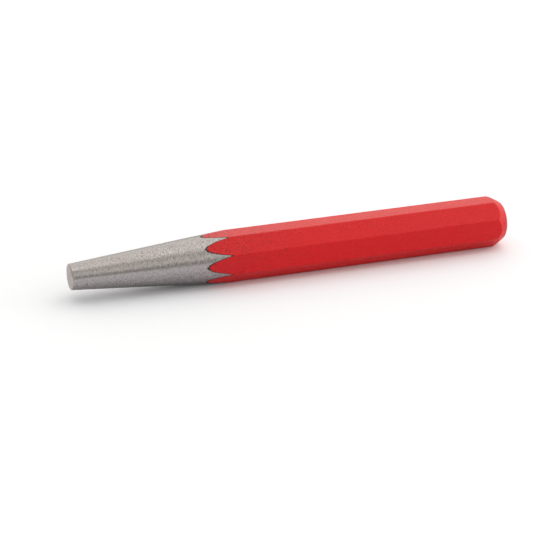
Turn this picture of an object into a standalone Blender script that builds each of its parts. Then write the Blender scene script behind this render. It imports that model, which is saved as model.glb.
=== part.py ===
"""Taper punch: an octagonal steel bar with a ground cone on one end, under two thin coats.

The punch lies along X with its tip towards -X, on one of its flats, which is at Z = 0.
The bar was coated before its cone was ground, so the cone cuts through the coats as well,
and each coat ends in scallops: a tongue on every flat, and a notch along every corner.
"""

import math

import bmesh
import bpy

# Driving dimensions, in metres and degrees
OVERALL_LENGTH = 0.125            # tip face to the outside of the coated head
FLAT_COUNT = 8
BAR_ACROSS_FLATS = 0.0131         # bare steel, flat to flat
BAR_CORNER_RADIUS = 0.0005        # rounding of the bare bar's long corners

TIP_DIAMETER = 0.007              # the punch's nominal size
TIP_EDGE_BREAK = 0.00015          # small bevel round the tip face
TAPER_HALF_ANGLE = 4.9            # side of the ground cone to the axis
TAPER_STRAIGHT_LENGTH = 0.028     # true cone, measured from the tip face
TAPER_RUNOUT_RADIUS = 1.0         # the ground surface then levels out along this arc

HEAD_FACE_DIAMETER = 0.0088       # flat middle of the struck face
HEAD_EDGE_RADIUS = 0.0012         # rounding from that face into the bevel, on bare steel
HEAD_BEVEL_ANGLE = 30.0           # side of the head's bevel to the axis

UNDERCOAT_THICKNESS = 0.00003
LACQUER_THICKNESS = 0.00005
FILM_CLEARANCE = 0.00001          # left free between steel and undercoat, and undercoat and lacquer

# Facets on the round shapes
TURNED_SIDES = 64
CORNER_STEPS = 3
RUNOUT_STEPS = 5
HEAD_EDGE_STEPS = 4
SMOOTH_ANGLE = 20.0               # edges sharper than this stay sharp

# Each surface is named by how far it lies outside the bare steel
BARE = 0.0
UNDERCOAT_INSIDE = BARE + FILM_CLEARANCE
UNDERCOAT_OUTSIDE = UNDERCOAT_INSIDE + UNDERCOAT_THICKNESS
LACQUER_INSIDE = UNDERCOAT_OUTSIDE + FILM_CLEARANCE
LACQUER_OUTSIDE = LACQUER_INSIDE + LACQUER_THICKNESS

TIP_X = -OVERALL_LENGTH / 2
HEAD_X = OVERALL_LENGTH / 2 - LACQUER_OUTSIDE
AXIS_HEIGHT = BAR_ACROSS_FLATS / 2 + LACQUER_OUTSIDE
CORNER_CENTRE_RADIUS = (BAR_ACROSS_FLATS / 2 - BAR_CORNER_RADIUS) / math.cos(math.pi / FLAT_COUNT)

# A turned cutting shape clears the coated corners and the head's rim, and a bar starts out over-long
COATED_CORNER_RADIUS = CORNER_CENTRE_RADIUS + BAR_CORNER_RADIUS + LACQUER_OUTSIDE
HEAD_RIM_RADIUS = HEAD_FACE_DIAMETER / 2 + HEAD_EDGE_RADIUS + LACQUER_OUTSIDE
TURNING_RADIUS = max(COATED_CORNER_RADIUS, HEAD_RIM_RADIUS) + BAR_CORNER_RADIUS
CUT_OVERHANG = BAR_ACROSS_FLATS / 2


def octagon_outline(outside):
    """The bar's section as (y, z) points, a flat down, this far outside the bare steel."""
    radius = BAR_CORNER_RADIUS + outside
    step = math.tau / FLAT_COUNT
    straight_down = -math.pi / 2
    points = []
    for corner in range(FLAT_COUNT):
        middle = straight_down + (corner + 0.5) * step
        centre_y = CORNER_CENTRE_RADIUS * math.cos(middle)
        centre_z = CORNER_CENTRE_RADIUS * math.sin(middle)
        for i in range(CORNER_STEPS + 1):
            angle = middle + (i / CORNER_STEPS - 0.5) * step
            points.append((centre_y + radius * math.cos(angle), centre_z + radius * math.sin(angle)))
    return points


def cone_profile():
    """(x, radius) points along the ground end: tip face, broken edge, cone, and the arc that levels out."""
    half_angle = math.radians(TAPER_HALF_ANGLE)
    slope = math.tan(half_angle)
    tip_radius = TIP_DIAMETER / 2
    length_to_clear = (TURNING_RADIUS - tip_radius) / slope
    straight_length = min(TAPER_STRAIGHT_LENGTH, length_to_clear)
    straight_radius = tip_radius + straight_length * slope
    points = [
        (TIP_X, tip_radius - TIP_EDGE_BREAK),
        (TIP_X + TIP_EDGE_BREAK, tip_radius + TIP_EDGE_BREAK * slope),
        (TIP_X + straight_length, straight_radius),
    ]
    if straight_length == length_to_clear:
        return points
    rise = TURNING_RADIUS - straight_radius
    end_angle = math.acos(min(1.0, math.cos(half_angle) + rise / TAPER_RUNOUT_RADIUS))
    for i in range(1, RUNOUT_STEPS + 1):
        angle = half_angle + (end_angle - half_angle) * i / RUNOUT_STEPS
        along = straight_length + TAPER_RUNOUT_RADIUS * (math.sin(half_angle) - math.sin(angle))
        radius = straight_radius + TAPER_RUNOUT_RADIUS * (math.cos(angle) - math.cos(half_angle))
        points.append((TIP_X + along, radius))
    return points


def head_profile(outside):
    """(x, radius) points along the struck end: bevel, rounded edge and flat face."""
    bevel = math.radians(HEAD_BEVEL_ANGLE)
    edge_radius = HEAD_EDGE_RADIUS + outside
    centre_x = HEAD_X - HEAD_EDGE_RADIUS
    centre_radius = HEAD_FACE_DIAMETER / 2
    rounded = []
    for i in range(HEAD_EDGE_STEPS + 1):
        angle = (math.pi / 2 - bevel) * (1 - i / HEAD_EDGE_STEPS)
        x = centre_x + edge_radius * math.cos(angle)
        rounded.append((x, centre_radius + edge_radius * math.sin(angle)))
    edge_x, edge_height = rounded[0]
    bevel_start = (edge_x - (TURNING_RADIUS - edge_height) / math.tan(bevel), TURNING_RADIUS)
    return [bevel_start] + rounded


def finish_mesh(name, bm):
    """A smooth-shaded object on the punch's axis, made from a closed bmesh."""
    bmesh.ops.recalc_face_normals(bm, faces=bm.faces)
    mesh = bpy.data.meshes.new(name)
    bm.to_mesh(mesh)
    bm.free()
    mesh.shade_smooth()
    mesh.set_sharp_from_angle(angle=math.radians(SMOOTH_ANGLE))
    solid = bpy.data.objects.new(name, mesh)
    bpy.context.scene.collection.objects.link(solid)
    solid.parent = punch_axis
    return solid


def octagon_bar(name, outside):
    """A length of octagonal bar that runs past both ends of the punch."""
    start = TIP_X - CUT_OVERHANG
    end = HEAD_X + outside + CUT_OVERHANG
    bm = bmesh.new()
    section = bm.faces.new([bm.verts.new((start, y, z)) for y, z in octagon_outline(outside)])
    extruded = bmesh.ops.extrude_face_region(bm, geom=[section])
    far_end = [item for item in extruded["geom"] if isinstance(item, bmesh.types.BMVert)]
    bmesh.ops.translate(bm, verts=far_end, vec=(end - start, 0, 0))
    return finish_mesh(name, bm)


def turned_solid(name, profile):
    """A solid turned about X from (x, radius) points, with a flat face at each end."""
    bm = bmesh.new()
    verts = [bm.verts.new((x, 0, radius)) for x, radius in profile]
    edges = [bm.edges.new(pair) for pair in zip(verts, verts[1:])]
    bmesh.ops.spin(bm, geom=verts + edges, cent=(0, 0, 0), axis=(1, 0, 0),
                   angle=math.tau, steps=TURNED_SIDES, use_merge=True)
    bmesh.ops.holes_fill(bm, edges=bm.edges)
    return finish_mesh(name, bm)


def hide_cutter(cutter):
    """Keeps a cutting shape out of the finished punch."""
    cutter.hide_render = True
    cutter.display_type = "WIRE"
    return cutter


def cut(solid, operation, cutter):
    """Adds one exact Boolean step to a solid."""
    step = solid.modifiers.new(cutter.name, "BOOLEAN")
    step.operation = operation
    step.solver = "EXACT"
    step.object = hide_cutter(cutter)


def ground_bar(name, outside):
    """Octagonal bar with the cone ground on one end and the head turned on the other."""
    bar = octagon_bar(name, outside)
    envelope = turned_solid(name + "_envelope", cone_profile() + head_profile(outside))
    cut(bar, "INTERSECT", envelope)
    return bar


def coated_core(name, outside):
    """What a coat covers: the bar with its head turned, before the cone was ground."""
    core = octagon_bar(name, outside)
    start = (TIP_X - CUT_OVERHANG / 2, TURNING_RADIUS)
    cut(core, "INTERSECT", turned_solid(name + "_envelope", [start] + head_profile(outside)))
    return core


def coat(name, inside, outside):
    """A film between two surfaces of the bar, ground away wherever the cone reaches it."""
    film = ground_bar(name, outside)
    cut(film, "DIFFERENCE", coated_core(name + "_core", inside))
    return film


def finish(solid, colour, roughness, metallic):
    """Gives a piece its own material."""
    material = bpy.data.materials.new(solid.name)
    material.use_nodes = True
    shader = material.node_tree.nodes["Principled BSDF"]
    shader.inputs["Base Color"].default_value = (*colour, 1.0)
    shader.inputs["Roughness"].default_value = roughness
    shader.inputs["Metallic"].default_value = metallic
    solid.data.materials.append(material)


for old in list(bpy.data.objects):
    bpy.data.objects.remove(old)

punch_axis = bpy.data.objects.new("punch_axis", None)
punch_axis.location = (0, 0, AXIS_HEIGHT)
bpy.context.scene.collection.objects.link(punch_axis)

steel_blank = ground_bar("steel_blank", BARE)
finish(steel_blank, colour=(0.42, 0.40, 0.385), roughness=0.45, metallic=1.0)

dark_undercoat = coat("dark_undercoat", UNDERCOAT_INSIDE, UNDERCOAT_OUTSIDE)
finish(dark_undercoat, colour=(0.02, 0.018, 0.018), roughness=0.7, metallic=0.0)

lacquer_coat = coat("lacquer_coat", LACQUER_INSIDE, LACQUER_OUTSIDE)
finish(lacquer_coat, colour=(0.55, 0.022, 0.025), roughness=0.45, metallic=0.0)
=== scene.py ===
# %% [markdown]
# # Taper punch
#
# A taper punch drives pins and rivets out of their holes. It is one solid steel bar: an octagonal
# shank, a cone that was ground on one end down to a flat tip, and a bevelled head for the hammer.
# Over the steel lie a thin dark undercoat and a red lacquer. Both were on the bar before its cone
# was ground, so the cone cuts through them, and they end in scallops with a dark outline.
#
# The lesson makes these three layers as closed meshes with one Geometry Nodes tree, gives each its
# finish, and lights them in a white studio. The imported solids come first, because they say where
# everything is.

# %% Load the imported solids
import math

import bpy
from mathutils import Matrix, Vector


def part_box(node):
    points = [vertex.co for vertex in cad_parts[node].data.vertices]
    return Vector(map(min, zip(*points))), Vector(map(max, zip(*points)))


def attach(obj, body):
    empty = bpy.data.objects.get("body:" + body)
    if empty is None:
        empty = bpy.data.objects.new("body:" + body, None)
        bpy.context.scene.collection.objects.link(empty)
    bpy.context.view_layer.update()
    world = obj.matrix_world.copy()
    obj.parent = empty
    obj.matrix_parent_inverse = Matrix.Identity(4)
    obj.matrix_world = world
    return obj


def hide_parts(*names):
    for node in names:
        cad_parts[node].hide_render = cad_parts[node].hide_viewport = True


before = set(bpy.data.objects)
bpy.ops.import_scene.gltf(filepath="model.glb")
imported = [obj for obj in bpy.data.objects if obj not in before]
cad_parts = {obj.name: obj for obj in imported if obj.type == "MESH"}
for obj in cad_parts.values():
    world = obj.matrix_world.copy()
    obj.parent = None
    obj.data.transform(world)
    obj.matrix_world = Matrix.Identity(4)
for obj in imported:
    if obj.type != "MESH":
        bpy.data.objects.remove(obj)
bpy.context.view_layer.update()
print("solids:", sorted(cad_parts))

# %% [markdown]
# ## Sizes
#
# Whatever a box can tell is read from the solids: the length, the height of the axis and how far the
# lacquer stands outside the steel. The rest are a toolmaker's own sizes for this punch, in metres.
# The solids keep a hair of clearance between the layers. Real coats stick to what they cover, so here
# the steel and the undercoat grow by that hair and the layers touch.

# %% Sizes that the solids give
MM = 0.001

steel_low, steel_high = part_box("steel_blank")
lacquer_low, lacquer_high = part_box("lacquer_coat")
TIP_X = steel_low.x
HEAD_X = lacquer_high.x
AXIS_HEIGHT = (lacquer_low.z + lacquer_high.z) / 2
FLAT_DISTANCE = (steel_high.z - steel_low.z) / 2     # from the axis to a bare flat
LACQUER_OUTSIDE = lacquer_high.z - steel_high.z      # from a bare flat to the lacquer's surface
print("punch from x", round(TIP_X / MM, 2), "to", round(HEAD_X / MM, 2), "mm")
print("bare steel", round(2 * FLAT_DISTANCE / MM, 2), "mm across flats")

# %% Sizes of the punch
FLAT_COUNT = 8
CORNER_RADIUS = 0.5 * MM
TIP_RADIUS = 3.5 * MM
TIP_EDGE_BREAK = 0.15 * MM
TAPER_HALF_ANGLE = math.radians(4.9)
CONE_LENGTH = 28 * MM                                # straight cone, before it levels out
RUNOUT_RADIUS = 1000 * MM                            # of the arc along which it levels out
HEAD_FACE_RADIUS = 4.4 * MM
HEAD_EDGE_RADIUS = 1.2 * MM
HEAD_BEVEL = math.radians(30)

# The coats, by how far each surface lies outside the bare steel
LACQUER_THICKNESS = 0.039 * MM
LACQUER_INSIDE = LACQUER_OUTSIDE - LACQUER_THICKNESS
UNDERCOAT_INSIDE = 0.01 * MM
print("undercoat", round((LACQUER_INSIDE - UNDERCOAT_INSIDE) / MM, 3), "mm thick")

# %% [markdown]
# ## Camera
#
# The viewing angle was fitted to the outline of the punch: a long lens, a little to the left of the
# tip and well above the bench.

# %% Camera
CAMERA_AZIMUTH = math.radians(-19.57)
CAMERA_ELEVATION = math.radians(22.71)
CAMERA_DISTANCE = 0.5562
CAMERA_AIM = Vector((-0.00502, 0, -0.0008))
CAMERA_LENS = 132.96                                 # mm, as lens and sensor are always given
CAMERA_SENSOR = 36

level = math.cos(CAMERA_ELEVATION)
towards_camera = Vector((
    math.sin(CAMERA_AZIMUTH) * level,
    -math.cos(CAMERA_AZIMUTH) * level,
    math.sin(CAMERA_ELEVATION),
))
camera = bpy.data.objects.new("camera", bpy.data.cameras.new("camera"))
camera.data.lens = CAMERA_LENS
camera.data.sensor_width = CAMERA_SENSOR
camera.location = CAMERA_AIM + towards_camera * CAMERA_DISTANCE
camera.rotation_euler = towards_camera.to_track_quat("Z", "Y").to_euler()
bpy.context.scene.collection.objects.link(camera)
bpy.context.scene.camera = camera
print("camera at", [round(c, 3) for c in camera.location])

# %% [markdown]
# ## Helpers
#
# Every tree below, for shapes and for finishes alike, is built with one function that adds a node,
# sets its options and fills its inputs. Many nodes hide sockets that their options don't use, so it
# counts only those that are shown. Colours are written as sRGB hex values, as a paint chart gives
# them, and turned to the linear values that Blender computes with.

# %% Helpers
def shown(sockets):
    """The sockets that a node shows. It hides those for which its options leave no use."""
    return [socket for socket in sockets if socket.enabled]


def add(tree, kind, inputs=(), **options):
    """Adds a node. inputs are values, sockets or nodes (their first output), by name or in order."""
    node = tree.nodes.new(kind)
    for name, value in options.items():
        setattr(node, name, value)
    pairs = inputs.items() if isinstance(inputs, dict) else zip(shown(node.inputs), inputs)
    for key, value in pairs:
        target = node.inputs[key] if isinstance(key, str) else key
        if isinstance(value, bpy.types.Node):
            value = shown(value.outputs)[0]
        if isinstance(value, bpy.types.NodeSocket):
            tree.links.new(value, target)
        else:
            target.default_value = value
    return node


def linear(hex_colour):
    """An sRGB hex value as a linear colour with alpha."""
    channels = [int(hex_colour[i:i + 2], 16) / 255 for i in (1, 3, 5)]
    return (*[c / 12.92 if c <= 0.04045 else ((c + 0.055) / 1.055) ** 2.4 for c in channels], 1)


def new_finish(name):
    """An empty finish: the material and its tree."""
    material = bpy.data.materials.new(name)
    material.use_nodes = True
    material.node_tree.nodes.clear()
    return material, material.node_tree


print("middle grey, in linear terms:", round(linear("#808080")[0], 3))

# %% [markdown]
# ## Finish 1: ground steel
#
# Chrome-vanadium tool steel, ground on a belt while the punch turned, so fine scratches run round the
# cone. To the eye that is a grey satin with a short sparkling grain. The scratches blur a reflection
# along the cone and hardly round it, which draws the long light and dark lines of a turned shape. An
# image could hold such a grain, but it would need a seam. Two coordinates give it without one: the
# way round the axis, and x plus the distance from the axis, which goes on over the tip as rings.

# %% Steel: coordinates round the axis
steel, steel_tree = new_finish("ground_chrome_vanadium_steel")
steel_place = add(steel_tree, "ShaderNodeTexCoord").outputs["Object"]
centred = add(steel_tree, "ShaderNodeMapping", {"Vector": steel_place, "Location": (0, 0, -AXIS_HEIGHT)})
steel_x = add(steel_tree, "ShaderNodeSeparateXYZ", [centred]).outputs["X"]
across = add(steel_tree, "ShaderNodeVectorMath", [centred, (0, 1, 1)], operation="MULTIPLY")
round_way = add(steel_tree, "ShaderNodeVectorMath", [across], operation="NORMALIZE")
distance = add(steel_tree, "ShaderNodeVectorMath", [across], operation="LENGTH")
along = add(steel_tree, "ShaderNodeMath", [steel_x, distance], operation="ADD")
print("steel's pattern turns about an axis", round(AXIS_HEIGHT / MM, 2), "mm up")

# %% Steel: grain
# Real scratches are a few hundredths of a millimetre wide. These are drawn as coarse as a picture of
# the whole punch can show.
GRAIN_WIDTH = 0.14 * MM
GRAIN_LENGTH = 0.55 * MM
CONE_MIDDLE_RADIUS = 5 * MM
NOISE_RANGE = (0.3, 0.7)                             # most values of a noise lie between these

rings = add(steel_tree, "ShaderNodeMath", [along, 1 / GRAIN_WIDTH], operation="MULTIPLY")
ring_axis = add(steel_tree, "ShaderNodeCombineXYZ", [rings])
grains_round = (CONE_MIDDLE_RADIUS / GRAIN_LENGTH,) * 3
scratch = add(
    steel_tree, "ShaderNodeVectorMath", [round_way, grains_round, ring_axis], operation="MULTIPLY_ADD",
)
grain = add(
    steel_tree, "ShaderNodeTexNoise", {"Vector": scratch, "Scale": 1, "Detail": 2, "Roughness": 0.6},
)
grain_shade = add(steel_tree, "ShaderNodeMapRange", [grain, *NOISE_RANGE, 0, 1])
print("grain of", round(GRAIN_WIDTH / MM, 2), "by", round(GRAIN_LENGTH / MM, 2), "mm")

# %% Steel: colour of the cone and of the tip
# Painted light: the tip face is drawn lighter than the cone, with fainter rings, to make up for the shade
# on it
CONE_GREYS = (linear("#767071"), linear("#C6BFBF"))
LIGHTENED_TIP_GREYS = (linear("#B7ACA9"), linear("#CEC2BF"))

cone_tint = add(steel_tree, "ShaderNodeMix", [grain_shade, *CONE_GREYS], data_type="RGBA")
lightened_tip_tint = add(steel_tree, "ShaderNodeMix", [grain_shade, *LIGHTENED_TIP_GREYS], data_type="RGBA")
lightened = add(steel_tree, "ShaderNodeMapRange", [steel_x, TIP_X + TIP_EDGE_BREAK, TIP_X, 0, 1])
clean_tint = add(steel_tree, "ShaderNodeMix", [lightened, cone_tint, lightened_tip_tint], data_type="RGBA")
print("tip faced over the last", round(TIP_EDGE_BREAK / MM, 2), "mm")

# %% Steel: pits and dust
# Here and there a deeper pit is left, or a speck of lacquer that the belt dragged along. Each grows
# out of the lowest or the highest values of one noise.
STEEL_SPECK = 0.4 * MM
PIT_NOISE = (0.2, 0.14)                              # where a pit starts, and where it is full
PIT_COVER = 0.8
RED_DUST_NOISE = (0.83, 0.88)
RED_DUST_COVER = 0.7

steel_specks = add(
    steel_tree, "ShaderNodeTexNoise", {"Vector": steel_place, "Scale": 1 / STEEL_SPECK, "Detail": 0},
)
pit = add(steel_tree, "ShaderNodeMapRange", [steel_specks, *PIT_NOISE, 0, PIT_COVER])
pitted_tint = add(steel_tree, "ShaderNodeMix", [pit, clean_tint, linear("#3A3534")], data_type="RGBA")
red_dust = add(steel_tree, "ShaderNodeMapRange", [steel_specks, *RED_DUST_NOISE, 0, RED_DUST_COVER])
steel_tint = add(steel_tree, "ShaderNodeMix", [red_dust, pitted_tint, linear("#9C4A48")], data_type="RGBA")
print("specks of", round(STEEL_SPECK / MM, 2), "mm")

# %% Steel: shine
# The blur runs across the scratches: along the cone, and from the middle of the tip outwards
STEEL_ROUGHNESS = (0.38, 0.32)                       # of the darkest and of the lightest grain
GROOVE_DEPTH = 0.02 * MM
GROOVE_STRENGTH = 0.25
OUTWARD_BLUR = 0.3                                   # beside 1 along the axis

polish = add(steel_tree, "ShaderNodeMapRange", [grain, *NOISE_RANGE, *STEEL_ROUGHNESS])
groove = add(
    steel_tree, "ShaderNodeBump",
    {"Strength": GROOVE_STRENGTH, "Distance": GROOVE_DEPTH, "Height": grain},
)
outwards = (OUTWARD_BLUR,) * 3
blur_way = add(
    steel_tree, "ShaderNodeVectorMath", [round_way, outwards, (1, 0, 0)], operation="MULTIPLY_ADD",
)
steel_shader = add(
    steel_tree, "ShaderNodeBsdfPrincipled",
    {
        "Base Color": steel_tint,
        "Metallic": 1.0,
        "Roughness": polish,
        "Specular Tint": linear("#DCDCDC"),
        "Anisotropic": 0.9,
        "Tangent": blur_way,
        "Normal": groove,
    },
)
add(steel_tree, "ShaderNodeOutputMaterial", [steel_shader])
print(steel.name, len(steel_tree.nodes), "nodes")

# %% [markdown]
# ## Finish 2: dark undercoat
#
# A matt, nearly black primer under the lacquer. Only its ground edge shows, as a thin line round every
# scallop, which turns grey where the belt has pulled at it. The line could be painted on the steel,
# but as a layer of its own it follows the scallops by itself.

# %% Dark undercoat
CHIP_SIZE = 0.35 * MM
WORN_NOISE = (0.5, 0.75)
RUBBED_NOISE = (0.3, 0.75)
UNDERCOAT_GREYS = (linear("#1E1A19"), linear("#4C4644"))
UNDERCOAT_ROUGHNESS = (0.75, 0.5)                    # untouched, and rubbed by the belt

undercoat, undercoat_tree = new_finish("matt_dark_undercoat")
undercoat_place = add(undercoat_tree, "ShaderNodeTexCoord").outputs["Object"]
chips = add(
    undercoat_tree, "ShaderNodeTexNoise", {"Vector": undercoat_place, "Scale": 1 / CHIP_SIZE, "Detail": 1},
)
worn = add(undercoat_tree, "ShaderNodeMapRange", [chips, *WORN_NOISE, 0, 1])
undercoat_tint = add(undercoat_tree, "ShaderNodeMix", [worn, *UNDERCOAT_GREYS], data_type="RGBA")
rubbed = add(undercoat_tree, "ShaderNodeMapRange", [chips, *RUBBED_NOISE, *UNDERCOAT_ROUGHNESS])
undercoat_shader = add(
    undercoat_tree, "ShaderNodeBsdfPrincipled", {"Base Color": undercoat_tint, "Roughness": rubbed},
)
add(undercoat_tree, "ShaderNodeOutputMaterial", [undercoat_shader])
print(undercoat.name, len(undercoat_tree.nodes), "nodes")

# %% [markdown]
# ## Finish 3: red lacquer
#
# A solid red alkyd lacquer, sprayed on and dried to a satin film. The droplets of the spray set side by
# side, each a little lighter or shinier than the next. That gives the red a fine grain and breaks the
# shine into a soft veil, strongest where the eye looks along the surface. A few specks of dry spray
# stand out pale. Pinholes show dark, most of them next to the cone, where grinding also dulled the red.
# The skin could be modelled, but droplets of a few hundredths of a millimetre are a job for a texture.

# %% Lacquer: red in droplets
# Real droplets are finer. These are as coarse as a picture of the whole punch needs to show a grain.
# A Voronoi texture gives each one a random colour, and the red channel of that serves as its shade.
DROPLET_SIZE = 0.3 * MM
DROPLET_REDS = (linear("#CB0006"), linear("#D40712"))

lacquer, lacquer_tree = new_finish("sprayed_red_lacquer")
lacquer_place = add(lacquer_tree, "ShaderNodeTexCoord").outputs["Object"]
droplets = add(lacquer_tree, "ShaderNodeTexVoronoi", {"Vector": lacquer_place, "Scale": 1 / DROPLET_SIZE})
droplet_shade = add(lacquer_tree, "ShaderNodeSeparateColor", [droplets.outputs["Color"]]).outputs["Red"]
droplet_red = add(lacquer_tree, "ShaderNodeMix", [droplet_shade, *DROPLET_REDS], data_type="RGBA")
print("droplets of", round(DROPLET_SIZE / MM, 2), "mm")

# %% Lacquer: dry spray
# A noise is weak on the planes of its own grid. At this size the top and front flats lie between them.
LACQUER_SPECK = 0.28 * MM
DRY_SPRAY_NOISE = (0.82, 0.88)

lacquer_specks = add(
    lacquer_tree, "ShaderNodeTexNoise",
    {"Vector": lacquer_place, "Scale": 1 / LACQUER_SPECK, "Detail": 0},
)
dry_spray = add(lacquer_tree, "ShaderNodeMapRange", [lacquer_specks, *DRY_SPRAY_NOISE, 0, 1])
speckled_red = add(
    lacquer_tree, "ShaderNodeMix", [dry_spray, droplet_red, linear("#DC5452")], data_type="RGBA",
)
print("specks of", round(LACQUER_SPECK / MM, 2), "mm")

# %% Lacquer: grinding dust and pinholes
# Grinding the cone dulled the red next to it, and opened more pinholes there
DUST_START = TIP_X + 36 * MM
DUST_END = TIP_X + 66 * MM
DUST_COVER = 0.12
PINHOLE_NOISE = (0.23, 0.18)

lacquer_x = add(lacquer_tree, "ShaderNodeSeparateXYZ", [lacquer_place]).outputs["X"]
dust = add(lacquer_tree, "ShaderNodeMapRange", [lacquer_x, DUST_START, DUST_END, DUST_COVER, 0])
dusty_red = add(lacquer_tree, "ShaderNodeMix", [dust, speckled_red, linear("#913742")], data_type="RGBA")
opened = add(lacquer_tree, "ShaderNodeMath", [lacquer_specks, dust], operation="SUBTRACT")
pinhole = add(lacquer_tree, "ShaderNodeMapRange", [opened, *PINHOLE_NOISE, 0, 1])
lacquer_tint = add(lacquer_tree, "ShaderNodeMix", [pinhole, dusty_red, linear("#5C0A0E")], data_type="RGBA")
print("dust over", round((DUST_END - DUST_START) / MM, 1), "mm next to the cone")

# %% Lacquer: satin skin
LACQUER_GLOSS = 0.27                                 # specular level, where clear plastic has 0.5
LACQUER_ROUGHNESS = (0.40, 0.32)                     # of the darkest and of the lightest droplet
DROPLET_HEIGHT = 0.1 * MM                            # more than real, because they are drawn wider

satin = add(lacquer_tree, "ShaderNodeMapRange", [droplet_shade, 0, 1, *LACQUER_ROUGHNESS])
skin = add(
    lacquer_tree, "ShaderNodeBump",
    {"Strength": 1.0, "Distance": DROPLET_HEIGHT, "Height": droplets}, invert=True,
)
lacquer_shader = add(
    lacquer_tree, "ShaderNodeBsdfPrincipled",
    {
        "Base Color": lacquer_tint,
        "Roughness": satin,
        "Specular IOR Level": LACQUER_GLOSS,
        "Normal": skin,
    },
)
add(lacquer_tree, "ShaderNodeOutputMaterial", [lacquer_shader])
print(lacquer.name, len(lacquer_tree.nodes), "nodes")

# %% [markdown]
# ## Drawing the rows
#
# All three layers are the same octagon, pressed under a turned outline. So each piece starts as a
# drawing: a list of rows from one end to the other, and for each row its place along the axis, the
# radius that the lathe or the belt leaves there, and how far outside the bare steel it lies. A row
# with a clear radius keeps the whole octagon. Cutting the bar with a cone would give the same shape,
# but rows also give even faces, without the slivers that a cut leaves.

# %% The arc along which the cone levels out
SLOPE = math.tan(TAPER_HALF_ANGLE)
CONE_END_RADIUS = TIP_RADIUS + CONE_LENGTH * SLOPE
ARC_CENTRE_X = TIP_X + CONE_LENGTH + RUNOUT_RADIUS * math.sin(TAPER_HALF_ANGLE)
ARC_CENTRE_RADIUS = CONE_END_RADIUS - RUNOUT_RADIUS * math.cos(TAPER_HALF_ANGLE)
CORNER_REACH = (FLAT_DISTANCE - CORNER_RADIUS) / math.cos(math.pi / FLAT_COUNT) + CORNER_RADIUS
CLEAR_RADIUS = CORNER_REACH + LACQUER_OUTSIDE + CORNER_RADIUS


def runout_x(radius):
    """Where along the axis the arc reaches a radius."""
    return ARC_CENTRE_X - math.sqrt(RUNOUT_RADIUS ** 2 - (radius - ARC_CENTRE_RADIUS) ** 2)


def runout_radius(x):
    """The arc's radius at a place along the axis."""
    return ARC_CENTRE_RADIUS + math.sqrt(RUNOUT_RADIUS ** 2 - (x - ARC_CENTRE_X) ** 2)


print("tongues start at x", round(runout_x(FLAT_DISTANCE + LACQUER_OUTSIDE) / MM, 2), "mm")

# %% Rows of the ground end
CONE_STEP = 0.7 * MM
RUNOUT_STEP = 0.25 * MM


def steps(start, end, longest):
    """Evenly spaced values after start, up to end, no further apart than longest."""
    count = math.ceil(abs(end - start) / longest)
    return [start + (end - start) * i / count for i in range(1, count + 1)]


def ground_end_rows(outside):
    """Tip face, broken edge, cone, and the arc up to the coated corners."""
    rows = [
        (TIP_X, 0, outside),
        (TIP_X, TIP_RADIUS - TIP_EDGE_BREAK, outside),
        (TIP_X + TIP_EDGE_BREAK, TIP_RADIUS + TIP_EDGE_BREAK * SLOPE, outside),
    ]
    for from_tip in steps(TIP_EDGE_BREAK, CONE_LENGTH, CONE_STEP):
        rows.append((TIP_X + from_tip, TIP_RADIUS + from_tip * SLOPE, outside))
    for x in steps(TIP_X + CONE_LENGTH, runout_x(CORNER_REACH + LACQUER_OUTSIDE), RUNOUT_STEP):
        rows.append((x, runout_radius(x), outside))
    return rows


print("ground end:", len(ground_end_rows(0)), "rows")

# %% Rows of the head
BEVEL_STEP = 0.08 * MM
EDGE_STEPS = 10
FACE_STEP = 1.1 * MM


def head_rows(outside):
    """Bevel, rounded edge and flat face, this far outside the bare steel."""
    edge_radius = HEAD_EDGE_RADIUS + outside
    centre_x = HEAD_X - LACQUER_OUTSIDE - HEAD_EDGE_RADIUS
    steepest = math.pi / 2 - HEAD_BEVEL
    edge_x = centre_x + edge_radius * math.cos(steepest)
    edge_height = HEAD_FACE_RADIUS + edge_radius * math.sin(steepest)
    bevel_x = edge_x - (CLEAR_RADIUS - edge_height) / math.tan(HEAD_BEVEL)
    rows = [(bevel_x, CLEAR_RADIUS, outside)]
    for x in steps(bevel_x, edge_x, BEVEL_STEP):
        rows.append((x, edge_height + (edge_x - x) * math.tan(HEAD_BEVEL), outside))
    for angle in steps(steepest, 0, steepest / EDGE_STEPS):
        x = centre_x + edge_radius * math.cos(angle)
        rows.append((x, HEAD_FACE_RADIUS + edge_radius * math.sin(angle), outside))
    for radius in steps(HEAD_FACE_RADIUS, 0, FACE_STEP):
        rows.append((centre_x + edge_radius, radius, outside))
    return rows


SHANK_END_X = head_rows(LACQUER_OUTSIDE)[0][0]
print("the bevel clears the corners at x", round(SHANK_END_X / MM, 2), "mm")

# %% Rows of the whole bar, and of a coat folded over it
SHANK_STEP = 2.5 * MM
RIM_STEP = 0.15 * MM
SCALLOP_X = TIP_X + CONE_LENGTH     # a coat's first row is drawn here, and the tree moves it up to the cone


def shank_rows(start, outside):
    """The octagon's own length, up to the head."""
    return [(x, CLEAR_RADIUS, outside) for x in steps(start, SHANK_END_X - SHANK_STEP, SHANK_STEP)]


def bar_rows(outside):
    """From the middle of the tip to the middle of the head."""
    ground = ground_end_rows(outside)
    return ground + shank_rows(ground[-1][0], outside) + head_rows(outside)


def coat_rows(inside, outside):
    """Out along the coat's outer face to the middle of the head, and back along its inner face."""
    faces = []
    for depth in (outside, inside):
        rim = [(SCALLOP_X, CLEAR_RADIUS, depth), (SCALLOP_X + RIM_STEP, CLEAR_RADIUS, depth)]
        faces.append(rim + shank_rows(rim[-1][0], depth) + head_rows(depth))
    outer_face, inner_face = faces
    return [inner_face[0]] + outer_face + inner_face[::-1]


print("rows: bar", len(bar_rows(0)), "coat", len(coat_rows(0, LACQUER_OUTSIDE)))

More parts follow.
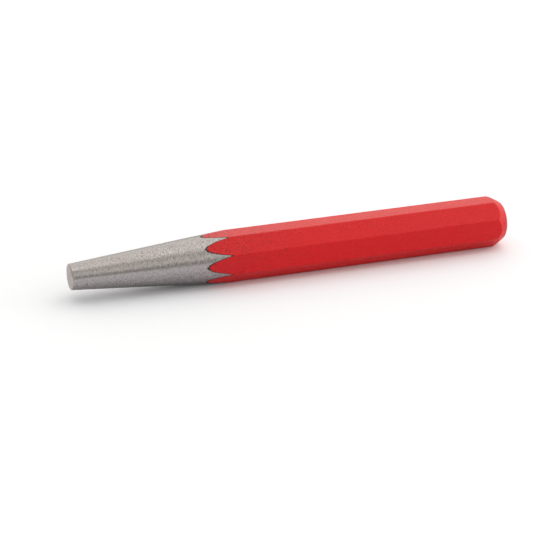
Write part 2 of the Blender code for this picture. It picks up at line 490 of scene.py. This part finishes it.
# %% [markdown]
# ## The tree
#
# A circle of eight points is an octagon. Fillet rounds its corners, and Subdivide adds points on its
# flats. A grid then gets one column for each point of that outline and one row for each row of the
# drawing, and every vertex looks up both. Where the outline reaches further than the row's radius, it
# is drawn in: that is the cone, and the head. A softened crease between the two stands for the film,
# which flows off sharp edges. Sweeping a curve could do as much, but a coat also has to end in
# scallops, and so each column of a coat starts where the cone reaches that column, give or take a
# little, because a belt tears a film more than it cuts it.

# %% Tree: named inputs
tree = bpy.data.node_groups.new("ground_octagon", "GeometryNodeTree")
for label, kind in {
    "Rows": "NodeSocketObject",
    "Flat Distance": "NodeSocketFloat",
    "Corner Radius": "NodeSocketFloat",
    "Softened Crease": "NodeSocketFloat",
    "Scalloped": "NodeSocketBool",
    "Ragged Edge": "NodeSocketFloat",
    "Seed": "NodeSocketInt",
    "Scallop X": "NodeSocketFloat",
    "Shank End X": "NodeSocketFloat",
    "Arc Centre X": "NodeSocketFloat",
    "Arc Centre Radius": "NodeSocketFloat",
    "Arc Radius": "NodeSocketFloat",
    "Axis Height": "NodeSocketFloat",
    "Finish": "NodeSocketMaterial",
}.items():
    tree.interface.new_socket(label, in_out="INPUT", socket_type=kind)
tree.interface.new_socket("Piece", in_out="OUTPUT", socket_type="NodeSocketGeometry")
identifiers = {item.name: item.identifier for item in tree.interface.items_tree if item.in_out == "INPUT"}
given = add(tree, "NodeGroupInput").outputs
position = add(tree, "GeometryNodeInputPosition")
index = add(tree, "GeometryNodeInputIndex")
print("inputs:", ", ".join(identifiers))

# %% Tree: outline of the bar
CORNER_STEPS = 8
FLAT_CUTS = 31

half_turn = math.pi / FLAT_COUNT
sharp_reach = add(tree, "ShaderNodeMath", [given["Flat Distance"], math.cos(half_turn)], operation="DIVIDE")
octagon = add(tree, "GeometryNodeCurvePrimitiveCircle", {"Resolution": FLAT_COUNT, "Radius": sharp_reach})
flat_down = add(tree, "GeometryNodeTransform", {"Geometry": octagon, "Rotation": (0, 0, half_turn)})
rounded = add(
    tree, "GeometryNodeFilletCurve",
    {"Curve": flat_down, "Count": CORNER_STEPS, "Radius": given["Corner Radius"]}, mode="POLY",
)
turn = add(tree, "FunctionNodeIntegerMath", [index, CORNER_STEPS + 1], operation="MODULO")
before_flat = add(tree, "ShaderNodeMath", [turn, CORNER_STEPS, 0.5], operation="COMPARE")
cuts = add(tree, "ShaderNodeMath", [before_flat, FLAT_CUTS], operation="MULTIPLY")
outline = add(tree, "GeometryNodeSubdivideCurve", {"Curve": rounded, "Cuts": cuts})
tangent = add(tree, "GeometryNodeInputTangent")
outward = add(tree, "ShaderNodeVectorMath", [tangent, (0, 0, 1)], operation="CROSS_PRODUCT")
print("outline of", FLAT_COUNT * (CORNER_STEPS + 1 + FLAT_CUTS), "points")

# %% Tree: grid of columns and rows
drawing = add(tree, "GeometryNodeObjectInfo", {"Object": given["Rows"]}).outputs["Geometry"]
row_size, column_size = [
    add(tree, "GeometryNodeAttributeDomainSize", [curve], component="CURVE").outputs["Point Count"]
    for curve in (drawing, outline)
]
grid_columns = add(tree, "FunctionNodeIntegerMath", [column_size, 1], operation="ADD")
grid = add(tree, "GeometryNodeMeshGrid", {"Vertices X": grid_columns, "Vertices Y": row_size})
row = add(tree, "FunctionNodeIntegerMath", [index, row_size], operation="MODULO")
open_column = add(tree, "FunctionNodeIntegerMath", [index, row_size], operation="DIVIDE_FLOOR")
column = add(tree, "FunctionNodeIntegerMath", [open_column, column_size], operation="MODULO")
look_ups = ((outline, position, column), (outline, outward, column), (drawing, position, row))
outline_point, outline_normal, row_point = [
    add(
        tree, "GeometryNodeSampleIndex",
        {"Geometry": curve, "Value": value, "Index": number}, data_type="FLOAT_VECTOR",
    )
    for curve, value, number in look_ups
]
row_x, row_radius, row_outside = add(tree, "ShaderNodeSeparateXYZ", [row_point]).outputs
print("each vertex looks up", len(look_ups), "values")

# %% Tree: press the octagon under the turned outline
film_point = add(
    tree, "ShaderNodeVectorMath", [outline_normal, row_outside, outline_point], operation="MULTIPLY_ADD",
)
reach = add(tree, "ShaderNodeVectorMath", [film_point], operation="LENGTH")
pressed = add(tree, "ShaderNodeMath", [reach, row_radius, given["Softened Crease"]], operation="SMOOTH_MIN")
shrink = add(tree, "ShaderNodeMath", [pressed, reach], operation="DIVIDE")
section = add(tree, "ShaderNodeVectorMath", [film_point, shrink], operation="SCALE")
section_y, section_z = add(tree, "ShaderNodeSeparateXYZ", [section]).outputs[:2]
print("pressed by", pressed.operation)

# %% Tree: start each column of a coat where the cone reaches it
arc_rise = add(tree, "ShaderNodeMath", [reach, given["Arc Centre Radius"]], operation="SUBTRACT")
rise_square = add(tree, "ShaderNodeMath", [arc_rise, arc_rise], operation="MULTIPLY")
arc_square = add(tree, "ShaderNodeMath", [given["Arc Radius"], given["Arc Radius"]], operation="MULTIPLY")
run_square = add(tree, "ShaderNodeMath", [arc_square, rise_square], operation="SUBTRACT")
arc_run = add(tree, "ShaderNodeMath", [run_square], operation="SQRT")
ground_x = add(tree, "ShaderNodeMath", [given["Arc Centre X"], arc_run], operation="SUBTRACT")
tear = add(tree, "FunctionNodeRandomValue", [-1.0, 1.0, column, given["Seed"]])
torn_x = add(tree, "ShaderNodeMath", [tear, given["Ragged Edge"], ground_x], operation="MULTIPLY_ADD")
stretched = add(
    tree, "ShaderNodeMapRange",
    [row_x, given["Scallop X"], given["Shank End X"], torn_x, given["Shank End X"]],
)
scalloped_x = add(tree, "ShaderNodeMath", [stretched, row_x], operation="MAXIMUM")
piece_x = add(
    tree, "GeometryNodeSwitch",
    {"Switch": given["Scalloped"], "False": row_x, "True": scalloped_x}, input_type="FLOAT",
)
print("scallops start at x", round(SCALLOP_X / MM, 2), "mm in the drawing")

# %% Tree: place, close and finish the surface
MERGE_DISTANCE = 0.001 * MM
SHARP_ANGLE = math.radians(20)

height = add(tree, "ShaderNodeMath", [section_z, given["Axis Height"]], operation="ADD")
place = add(tree, "ShaderNodeCombineXYZ", [piece_x, section_y, height])
placed = add(tree, "GeometryNodeSetPosition", {"Geometry": grid, "Position": place})
closed = add(tree, "GeometryNodeMergeByDistance", {"Geometry": placed, "Distance": MERGE_DISTANCE})
smooth = add(tree, "GeometryNodeSetShadeSmooth", {"Geometry": closed, "Shade Smooth": True})
bend = add(tree, "GeometryNodeInputMeshEdgeAngle")
is_sharp = add(tree, "ShaderNodeMath", [bend, SHARP_ANGLE], operation="GREATER_THAN")
creased = add(
    tree, "GeometryNodeSetShadeSmooth",
    {"Geometry": smooth, "Selection": is_sharp, "Shade Smooth": False}, domain="EDGE",
)
real = add(tree, "GeometryNodeRealizeInstances", [creased])
finished = add(tree, "GeometryNodeSetMaterial", {"Geometry": real, "Material": given["Finish"]})
add(tree, "NodeGroupOutput", [finished])
print("octagon tree:", len(tree.nodes), "nodes")

# %% [markdown]
# ## The three pieces
#
# Each piece is an object with the tree on it. Its inputs are set first, by their sockets' identifiers,
# and then the evaluated shape becomes a plain mesh and the modifier goes.

# %% Make a piece
LACQUER_CREASE = 0.12 * MM
RAGGED_EDGE = 0.15 * MM                              # how far the belt tore the films, either way


def drawn_curve(rows):
    """The rows as a curve that the tree can read."""
    curve = bpy.data.curves.new("rows", "CURVE")
    curve.dimensions = "3D"
    spline = curve.splines.new("POLY")
    spline.points.add(len(rows) - 1)
    for point, row_values in zip(spline.points, rows):
        point.co = (*row_values, 1)
    drawing_object = bpy.data.objects.new("rows", curve)
    bpy.context.scene.collection.objects.link(drawing_object)
    return drawing_object


def make_piece(name, rows, finish, scalloped=False, softened_crease=0.0, seed=0):
    """A closed mesh from rows, with its place in its vertices."""
    piece = bpy.data.objects.new(name, bpy.data.meshes.new(name))
    bpy.context.scene.collection.objects.link(piece)
    rows_object = drawn_curve(rows)
    modifier = piece.modifiers.new("octagon", "NODES")
    modifier.node_group = tree
    for label, value in {
        "Rows": rows_object,
        "Flat Distance": FLAT_DISTANCE,
        "Corner Radius": CORNER_RADIUS,
        "Softened Crease": softened_crease,
        "Scalloped": scalloped,
        "Ragged Edge": RAGGED_EDGE,
        "Seed": seed,
        "Scallop X": SCALLOP_X,
        "Shank End X": SHANK_END_X,
        "Arc Centre X": ARC_CENTRE_X,
        "Arc Centre Radius": ARC_CENTRE_RADIUS,
        "Arc Radius": RUNOUT_RADIUS,
        "Axis Height": AXIS_HEIGHT,
        "Finish": finish,
    }.items():
        modifier[identifiers[label]] = value
    made = piece.evaluated_get(bpy.context.evaluated_depsgraph_get())
    piece.data = bpy.data.meshes.new_from_object(made)
    piece.data.name = name
    piece.modifiers.clear()
    bpy.data.objects.remove(rows_object)
    print(name, len(piece.data.polygons), "faces")
    return piece


# %% Steel, undercoat and lacquer
pieces = {
    "steel_blank": make_piece("punch_blank", bar_rows(UNDERCOAT_INSIDE), steel),
    "dark_undercoat": make_piece(
        "undercoat_film", coat_rows(UNDERCOAT_INSIDE, LACQUER_INSIDE), undercoat,
        scalloped=True, softened_crease=LACQUER_CREASE, seed=1,
    ),
    "lacquer_coat": make_piece(
        "lacquer_film", coat_rows(LACQUER_INSIDE, LACQUER_OUTSIDE), lacquer,
        scalloped=True, softened_crease=LACQUER_CREASE, seed=2,
    ),
}

# %% Give the pieces their places in the frame
for node, piece in pieces.items():
    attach(piece, "root")
    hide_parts(node)

# %% [markdown]
# ## Studio
#
# The punch lies on a white floor in a light tent, as small tools are often photographed. Turned steel
# shows its surroundings as long lines, so the tent isn't even: its bright top leans away from the
# camera, a lit band runs lower down, and the seam between them and the opening for the camera are
# darker. More light comes from the right than from the left, and one softbox beyond the head lights the
# bevel there.

# %% Floor
# Matt white board, which shows no reflection, only the soft shadow of the punch
FLOOR_SIZE = 4.0

floor_finish, floor_tree = new_finish("matt_white_floor")
floor_shader = add(
    floor_tree, "ShaderNodeBsdfPrincipled",
    {"Base Color": linear("#EEEFF6"), "Roughness": 1.0, "Specular IOR Level": 0.0},
)
add(floor_tree, "ShaderNodeOutputMaterial", [floor_shader])
half = FLOOR_SIZE / 2
floor_corners = [(-half, -half, 0), (half, -half, 0), (half, half, 0), (-half, half, 0)]
floor_mesh = bpy.data.meshes.new("floor")
floor_mesh.from_pydata(floor_corners, [], [(0, 1, 2, 3)])
floor_mesh.materials.append(floor_finish)
floor = bpy.data.objects.new("floor", floor_mesh)
bpy.context.scene.collection.objects.link(floor)
print("floor of", FLOOR_SIZE, "m")

# %% Tent
TENT_LEAN = math.radians(29)                         # its bright top leans away from the camera
TENT_SIDE_GAIN = 0.7                                 # how much brighter the far right is than the middle
TENT_CLOTH = linear("#FFFEF6")
TENT_STOPS = (                                       # degrees from the top of the tent, and brightness
    (0, 1.31),
    (18, 1.31),
    (30, 1.46),
    (40, 1.46),
    (63, 0.80),
    (69, 0.80),
    (82, 1.00),
    (92, 1.00),
    (107, 0.46),
    (180, 0.46),
)
TENT_BRIGHTEST = max(brightness for _, brightness in TENT_STOPS)

world = bpy.data.worlds.new("light_tent")
bpy.context.scene.world = world
world.use_nodes = True
tent = world.node_tree
tent.nodes.clear()
direction = add(tent, "ShaderNodeTexCoord").outputs["Object"]
tent_top = (0, math.sin(TENT_LEAN), math.cos(TENT_LEAN))
lean = add(tent, "ShaderNodeVectorMath", [direction, tent_top], operation="DOT_PRODUCT")
from_top = add(tent, "ShaderNodeMath", [lean], operation="ARCCOSINE")
share = add(tent, "ShaderNodeMapRange", [from_top, 0, math.pi, 0, 1])
panels = add(tent, "ShaderNodeValToRGB", [share])
ramp = panels.color_ramp
ramp.interpolation = "EASE"
for degrees, _ in TENT_STOPS[1:-1]:
    ramp.elements.new(degrees / 180)
for stop, (_, brightness) in zip(ramp.elements, TENT_STOPS):
    stop.color = (*[channel * brightness / TENT_BRIGHTEST for channel in TENT_CLOTH[:3]], 1)
to_right = add(tent, "ShaderNodeSeparateXYZ", [direction]).outputs["X"]
far_left = TENT_BRIGHTEST * (1 - TENT_SIDE_GAIN)
far_right = TENT_BRIGHTEST * (1 + TENT_SIDE_GAIN)
side_light = add(tent, "ShaderNodeMapRange", [to_right, -1, 1, far_left, far_right])
sky = add(tent, "ShaderNodeBackground", {"Color": panels, "Strength": side_light})
add(tent, "ShaderNodeOutputWorld", [sky])
print("tent with", len(ramp.elements), "stops")

# %% Softbox
SOFTBOX_SIZE = 0.3
SOFTBOX_PLACE = Vector((0.45, -0.06, 0.16))
SOFTBOX_BRIGHTNESS = 1.4                             # times the white of the picture

softbox = bpy.data.objects.new("softbox", bpy.data.lights.new("softbox", "AREA"))
softbox.data.shape = "SQUARE"
softbox.data.size = SOFTBOX_SIZE
softbox.data.energy = SOFTBOX_BRIGHTNESS * math.pi * SOFTBOX_SIZE ** 2
softbox.location = SOFTBOX_PLACE
softbox.rotation_euler = SOFTBOX_PLACE.to_track_quat("Z", "Y").to_euler()
softbox.visible_camera = False
bpy.context.scene.collection.objects.link(softbox)
print("softbox of", round(softbox.data.energy, 2), "W")

# %% [markdown]
# ## View
#
# The picture is shown as it was computed, with no film look.

# %% View settings
bpy.context.scene.view_settings.view_transform = "Standard"
